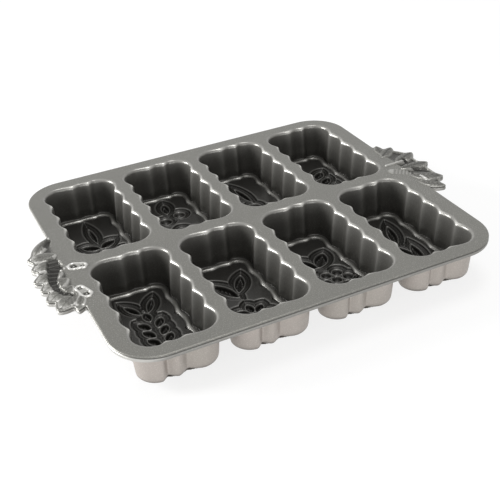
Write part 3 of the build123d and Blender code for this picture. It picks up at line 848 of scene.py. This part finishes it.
def build_cups():
    """Eight cups, each one mesh with a coated inside and a bare outside. Returns their highest rings."""
    tree = lobed_wall_tree()
    marks, outer_marks = ridge_marks(END_RIDGE_HEIGHT), ridge_marks(OUTER_END_RIDGE_HEIGHT)
    inner = arrays_of(lobed_wall("inside wall", tree, marks, INSIDE_PROFILE, inside_painted_light, True, 0.22,
                                 WELL_COATING_WITH_PAINTED_SHADE))
    outer = arrays_of(lobed_wall("outside wall", tree, outer_marks, OUTSIDE_PROFILE, outside_painted_shade, False, 0.0,
                                 BARE_CAST))
    for finished in (marks, outer_marks):
        bpy.data.objects.remove(finished)
    points = np.vstack([inner[0], outer[0]])
    faces = np.vstack([inner[1], outer[1] + len(inner[0])]).tolist()
    rubbed = np.concatenate([inner[2], outer[2]])
    finish = np.repeat([0, 1], [len(inner[1]), len(outer[1])])
    rings = {"top": [], "under": []}
    for row, row_name in enumerate(("front", "back")):
        for column in range(COLUMNS):
            centre = well_centre(column, row)
            name = f"{row_name}_well_{column + 1}"
            mesh = make_mesh(name, points + centre, faces, rubbed, (WELL_COATING_WITH_PAINTED_SHADE, BARE_CAST), finish)
            place_piece(name, mesh, [f"{row_name}_cup_{column + 1}"])
            rings["top"].append(highest_ring(inner[0]) + centre[:2])
            rings["under"].append(highest_ring(outer[0]) + centre[:2])
    return rings


# Floors

def grid_faces(kept):
    """Four-cornered faces of a grid whose corners are all kept, by the kept points' numbers."""
    number = np.full(kept.shape, -1)
    number[kept] = np.arange(kept.sum())
    corners = np.stack([number[:-1, :-1], number[1:, :-1], number[1:, 1:], number[:-1, 1:]], -1)
    corners = corners.reshape(-1, 4)
    return corners[(corners >= 0).all(axis=1)]


def build_floor(name, shapes, centre):
    """Floor of one well with its figure sunk in it, and the pads that the figure makes below."""
    half_x, half_y = WELL_WIDTH / 2 - PANEL_EDGE_INSET, WELL_LENGTH / 2 - PANEL_EDGE_INSET
    x, y = np.meshgrid(np.arange(-half_x, half_x, FLOOR_STEP), np.arange(-half_y, half_y, FLOOR_STEP),
                       indexing="ij")
    inset = inset_at(x, y)
    away = figure_distance(shapes, x, y)
    top = inset > FLOOR_EDGE_INSET
    depth = figure_depth(shapes, x, y)
    top_points = np.stack([x, y, FLOOR_TOP - depth], -1)[top]
    ribs = (0.5 + 0.5 * np.cos(2 * pi * (away + FIELD_MARGIN) / FIELD_RIB_PITCH)) ** 2
    on_field = smooth((away + FIELD_MARGIN) / FIELD_SLOPE) * smooth(-away / 0.6)
    # painted highlight along the figures' and fields' edges and on the ribs, painted shade in the field and
    # the pockets
    top_painted_light = (FIGURE_EDGE_PAINTED_HIGHLIGHT * bump_line(away + 0.2, 0.8)
                  + FIELD_EDGE_PAINTED_HIGHLIGHT * bump_line(away + FIELD_MARGIN, 0.8)
                  + on_field * (FIELD_RIB_PAINTED_HIGHLIGHT * ribs - FIELD_PAINTED_SHADE)
                  - POCKET_PAINTED_SHADE * smooth((away - 0.4) / 1.2))[top]
    under = inset > PANEL_EDGE_INSET
    pad = PANEL_UNDER * smooth((away + POCKET_WALL + 0.6) / 1.8)
    under_height = PANEL_UNDER - PANEL_SINK - pad * (1 - PANEL_SINK / PANEL_UNDER)
    under_points = np.stack([x, y, under_height], -1)[under]
    under_rubbed = (PAD_EDGE_BRIGHT * bump_line(away + POCKET_WALL - 0.6, 0.8))[under]
    top_faces, under_faces = grid_faces(top), grid_faces(under)[:, ::-1]
    points = np.vstack([top_points, under_points]) + centre
    faces = np.vstack([top_faces, under_faces + len(top_points)]).tolist()
    finish = np.repeat([0, 1], [len(top_faces), len(under_faces)])
    return make_mesh(name, points, faces, np.concatenate([top_painted_light, under_rubbed]),
                     (FLOOR_COATING_WITH_PAINTED_SHADE, BARE_CAST), finish)


def build_floors():
    for row, row_name in enumerate(("front", "back")):
        for column in range(COLUMNS):
            name = f"{row_name}_sunk_figure_{column + 1}"
            mesh = build_floor(name, FIGURES[f"{row_name}_{column + 1}"], well_centre(column, row))
            place_piece(name, mesh, [f"{row_name}_floor_{column + 1}"])


# Deck and handles

def fill_between(outer, holes, loose=None):
    """Triangles between an outer line and the lines of the holes, with loose points taken in."""
    lines = [outer] + list(holes)
    points = np.vstack(lines + ([loose] if loose is not None else []))
    edges, start = [], 0
    for line in lines:
        count = len(line)
        edges += [(start + k, start + (k + 1) % count) for k in range(count)]
        start += count
    made = delaunay_2d_cdt([Vector(p) for p in points.tolist()], edges, [], 0, 1e-7)
    corners = np.array([(v.x, v.y) for v in made[0]])
    faces = np.array(made[2])
    middles = corners[faces].mean(axis=1)
    keep = inside_line(middles, outer)
    for hole in holes:
        keep &= ~inside_line(middles, hole)
    faces = faces[keep]
    a, b, c = (corners[faces[:, k]] for k in range(3))
    turned = (b - a)[:, 0] * (c - a)[:, 1] - (b - a)[:, 1] * (c - a)[:, 0] < 0
    faces[turned] = faces[turned][:, ::-1]
    return corners, faces


def relief_points(outline):
    """Loose points over the handles, close enough together to carry their relief."""
    spots = []
    for side, sign in (("left", -1), ("right", 1)):
        x, y = np.meshgrid(np.arange(RELIEF_INNER[side], DECK_LENGTH / 2 + LUG_REACH, RELIEF_STEP),
                           np.arange(-RELIEF_HALF_LENGTH, RELIEF_HALF_LENGTH, RELIEF_STEP), indexing="ij")
        spots.append(np.stack([sign * x.ravel(), y.ravel()], -1))
    spots = np.vstack(spots)
    keep = inside_line(spots, moved_in(outline, EDGE_CLEARANCE))
    for column in range(COLUMNS):
        for row in range(ROWS):
            centre = well_centre(column, row)
            keep &= inset_at(spots[:, 0] - centre[0], spots[:, 1] - centre[1]) < -WELL_CLEARANCE
    return spots[keep]


def at_height(line, z):
    return np.column_stack([line, np.full(len(line), z)])


def build_deck(rings):
    """Deck and both handles from one continuous skin, then parted into three pieces."""
    outline = deck_outline()
    count = len(outline)
    points, faces, rubbed, finishes = [], [], [], []
    total = 0

    def add(new_points, new_faces, new_wear_and_painted_light, finish):
        nonlocal total
        # a triangle repeats its last corner, so that every face has four
        if new_faces.shape[1] == 3:
            new_faces = np.hstack([new_faces, new_faces[:, -1:]])
        points.append(new_points)
        faces.append(new_faces + total)
        rubbed.append(new_wear_and_painted_light)
        finishes.append(np.full(len(new_faces), finish))
        total += len(new_points)

    top_line = moved_in(outline, EDGE_PROFILE[0][0])
    top_xy, top_faces = fill_between(top_line, rings["top"], relief_points(outline))
    height, wear_and_light = handle_relief(top_xy[:, 0], top_xy[:, 1])
    edge_fade = np.ones(len(top_xy))
    edge_fade[:count] = 0.0
    add(np.column_stack([top_xy, DECK_TOP + height * edge_fade]), top_faces, wear_and_light * edge_fade, TOP)
    edge = np.vstack([at_height(moved_in(outline, inset), z) for inset, z in EDGE_PROFILE])
    step, ring = np.meshgrid(np.arange(count), np.arange(len(EDGE_PROFILE) - 1))
    step, ring = step.ravel(), ring.ravel()
    here, there, following = ring * count, (ring + 1) * count, (step + 1) % count
    sides = np.stack([here + step, there + step, there + following, here + following], -1)
    unworn = len(EDGE_PROFILE) - len(TOP_EDGE_WORN)
    edge_worn = np.repeat(list(TOP_EDGE_WORN) + [0.0] * unworn, count)
    # painted light: the band is painted paler where it faces left, towards the lamp
    leftwards = np.clip((moved_in(outline, -1.0) - outline)[:, 0] * -1.0, 0, 1)
    band_wear_and_painted_light = np.tile(BAND_BRIGHT + LEFT_BAND_PAINTED_LIGHT * smooth(leftwards * 1.6), len(EDGE_PROFILE))
    in_groove = np.repeat([GROOVE_LOW <= z < GROOVE_HIGH for _, z in EDGE_PROFILE], count)
    top_part, band_part = ring < COATED_EDGE_RINGS, (ring >= COATED_EDGE_RINGS) & (ring < BAND_EDGE_RINGS)
    add(edge, sides[top_part], edge_worn, TOP)
    # painted shade in the parting groove
    add(edge, sides[band_part], np.where(in_groove, -GROOVE_PAINTED_SHADE, band_wear_and_painted_light), BAND)
    add(edge, sides[~top_part & ~band_part], edge_worn, UNDER)
    inner = rounded_rectangle(DECK_LENGTH / 2 - BAND_WIDTH, DECK_WIDTH / 2 - BAND_WIDTH,
                              DECK_CORNER - BAND_WIDTH, UNDERSIDE_STEP)
    band_line = moved_in(outline, EDGE_PROFILE[-1][0])
    band_xy, band_faces = fill_between(band_line, [inner])
    add(at_height(band_xy, BAND_UNDER), band_faces[:, ::-1], np.zeros(len(band_xy)), UNDER)
    n = len(inner)
    k = np.arange(n)
    wall = np.vstack([at_height(inner, BAND_UNDER), at_height(inner, DECK_UNDER)])
    add(wall, np.stack([k, k + n, (k + 1) % n + n, (k + 1) % n], -1), np.zeros(2 * n), UNDER)
    under_xy, under_faces = fill_between(inner, rings["under"])
    add(at_height(under_xy, DECK_UNDER), under_faces[:, ::-1], np.zeros(len(under_xy)), UNDER)

    points, rubbed, finishes = np.vstack(points), np.concatenate(rubbed), np.concatenate(finishes)
    faces = np.vstack(faces)
    middle = points[faces[:, :3]].mean(axis=1)
    at_handle = (np.abs(middle[:, 1]) < PARTING_HALF_LENGTH) & (np.abs(middle[:, 0]) > PARTING_X)
    regions = {
        "deck": (~at_handle, COATING, "deck", ["deck_plate", "rim_band"]),
        "left_leaf_handle": (at_handle & (middle[:, 0] < 0), HANDLE_FINISH, "relief",
                             ["left_handle_lug", "left_handle_leaves", "deck_tendrils"]),
        "right_leaf_handle": (at_handle & (middle[:, 0] > 0), HANDLE_FINISH, "relief",
                              ["right_handle_lug", "right_handle_leaves"]),
    }
    for name, (chosen, finish, slot, nodes) in regions.items():
        used, local = np.unique(faces[chosen], return_inverse=True)
        corners = [list(dict.fromkeys(face)) for face in local.reshape(-1, 4).tolist()]
        mesh = make_mesh(name, points[used], corners, rubbed[used], (finish, BAND_FINISH, BARE_CAST),
                         finishes[chosen])
        place_piece(name, mesh, nodes)


# Studio

WHITE = (1, 1, 1, 1)
SHEET_REACH, SHEET_HEIGHT = 6.0, -0.0002  # metres, just under the pan's pads
SHEET_LIT, SHEET_SEEN = (0.7, 0.7, 0.7, 1), (0.24, 0.24, 0.24, 1)
SHEET_LIFT = 0.8  # how far the camera sees the sheet lifted towards white
SKY_LIT, SKY_SEEN = 0.45, 1.0
LAMP_TARGET = (0, 0, 0.03)


def seen_directly(tree):
    """1 for the camera and for what metal and glass show, 0 for light that falls on things."""
    path = add_node(tree, "ShaderNodeLightPath")
    return maths(tree, "MAXIMUM", path.outputs["Is Camera Ray"],
                 maths(tree, "MAXIMUM", path.outputs["Is Glossy Ray"], path.outputs["Is Transmission Ray"]))


def build_floor_sheet():
    """A pale sheet that the pan stands on, white to the camera except for the pan's shadow."""
    material = bpy.data.materials.new("White sheet")
    material.use_nodes = True
    tree = material.node_tree
    surface = tree.nodes["Principled BSDF"]
    surface.inputs["Roughness"].default_value = 1.0
    surface.inputs["Specular IOR Level"].default_value = 0.0
    seen = seen_directly(tree)
    lift = maths(tree, "MULTIPLY", seen, SHEET_LIFT)
    tree.links.new(mix_colours(tree, seen, SHEET_LIT, SHEET_SEEN), surface.inputs["Base Color"])
    surface.inputs["Emission Color"].default_value = WHITE
    tree.links.new(lift, surface.inputs["Emission Strength"])
    mesh = bpy.data.meshes.new("white sheet")
    corners = [(x * SHEET_REACH, y * SHEET_REACH, SHEET_HEIGHT)
               for x, y in ((-1, -1), (1, -1), (1, 1), (-1, 1))]
    mesh.from_pydata(corners, [], [(0, 1, 2, 3)])
    mesh.materials.append(material)
    sheet = bpy.data.objects.new("white sheet", mesh)
    bpy.context.scene.collection.objects.link(sheet)


def build_lamp(name, place, width, height, watts):
    """A rectangular lamp that points just over the middle of the pan."""
    lamp = bpy.data.lights.new(name, "AREA")
    lamp.shape, lamp.size, lamp.size_y, lamp.energy = "RECTANGLE", width, height, watts
    holder = bpy.data.objects.new(name, lamp)
    bpy.context.scene.collection.objects.link(holder)
    holder.location = place
    holder.rotation_euler = (Vector(LAMP_TARGET) - holder.location).to_track_quat("-Z", "Y").to_euler()


def build_studio():
    world = bpy.data.worlds.new("studio")
    bpy.context.scene.world = world
    world.use_nodes = True
    tree = world.node_tree
    back = tree.nodes["Background"]
    back.inputs["Color"].default_value = WHITE
    strength = add_node(tree, "ShaderNodeMapRange", {"Value": seen_directly(tree), "To Min": SKY_LIT,
                                                     "To Max": SKY_SEEN})
    tree.links.new(strength.outputs[0], back.inputs["Strength"])
    build_lamp("soft light from behind, left", (-1.7, 0.8, 0.78), 0.9, 0.7, 44)
    build_lamp("soft light overhead", (0.15, -0.1, 1.5), 0.7, 0.5, 7)
    build_lamp("low front light", (-0.3, -1.8, 0.14), 1.6, 0.25, 9)


# Camera of the photograph, from the fit to the deck's edges and the wells' ridges
CAMERA_PLACE = (-0.2740, -0.5998, 0.4280)
CAMERA_RIGHT = Vector((0.89562, -0.44258, -0.04460))
CAMERA_FORWARD = Vector((0.35157, 0.76572, -0.53858))
CAMERA_LENS, CAMERA_SENSOR = 62.775, 36.0


def build_camera():
    data = bpy.data.cameras.new("camera")
    data.lens, data.sensor_width, data.sensor_fit = CAMERA_LENS, CAMERA_SENSOR, "HORIZONTAL"
    data.clip_start, data.clip_end = 0.01, 30.0
    holder = bpy.data.objects.new("camera", data)
    bpy.context.scene.collection.objects.link(holder)
    back = -CAMERA_FORWARD.normalized()
    right = (CAMERA_RIGHT - CAMERA_RIGHT.dot(back) * back).normalized()
    up = back.cross(right)
    turn = Matrix((right, up, back)).transposed()
    holder.matrix_world = Matrix.Translation(CAMERA_PLACE) @ turn.to_4x4()
    bpy.context.scene.camera = holder


rings = build_cups()
build_floors()
build_deck(rings)
build_floor_sheet()
build_studio()
build_camera()
bpy.context.scene.view_settings.view_transform = "Standard"
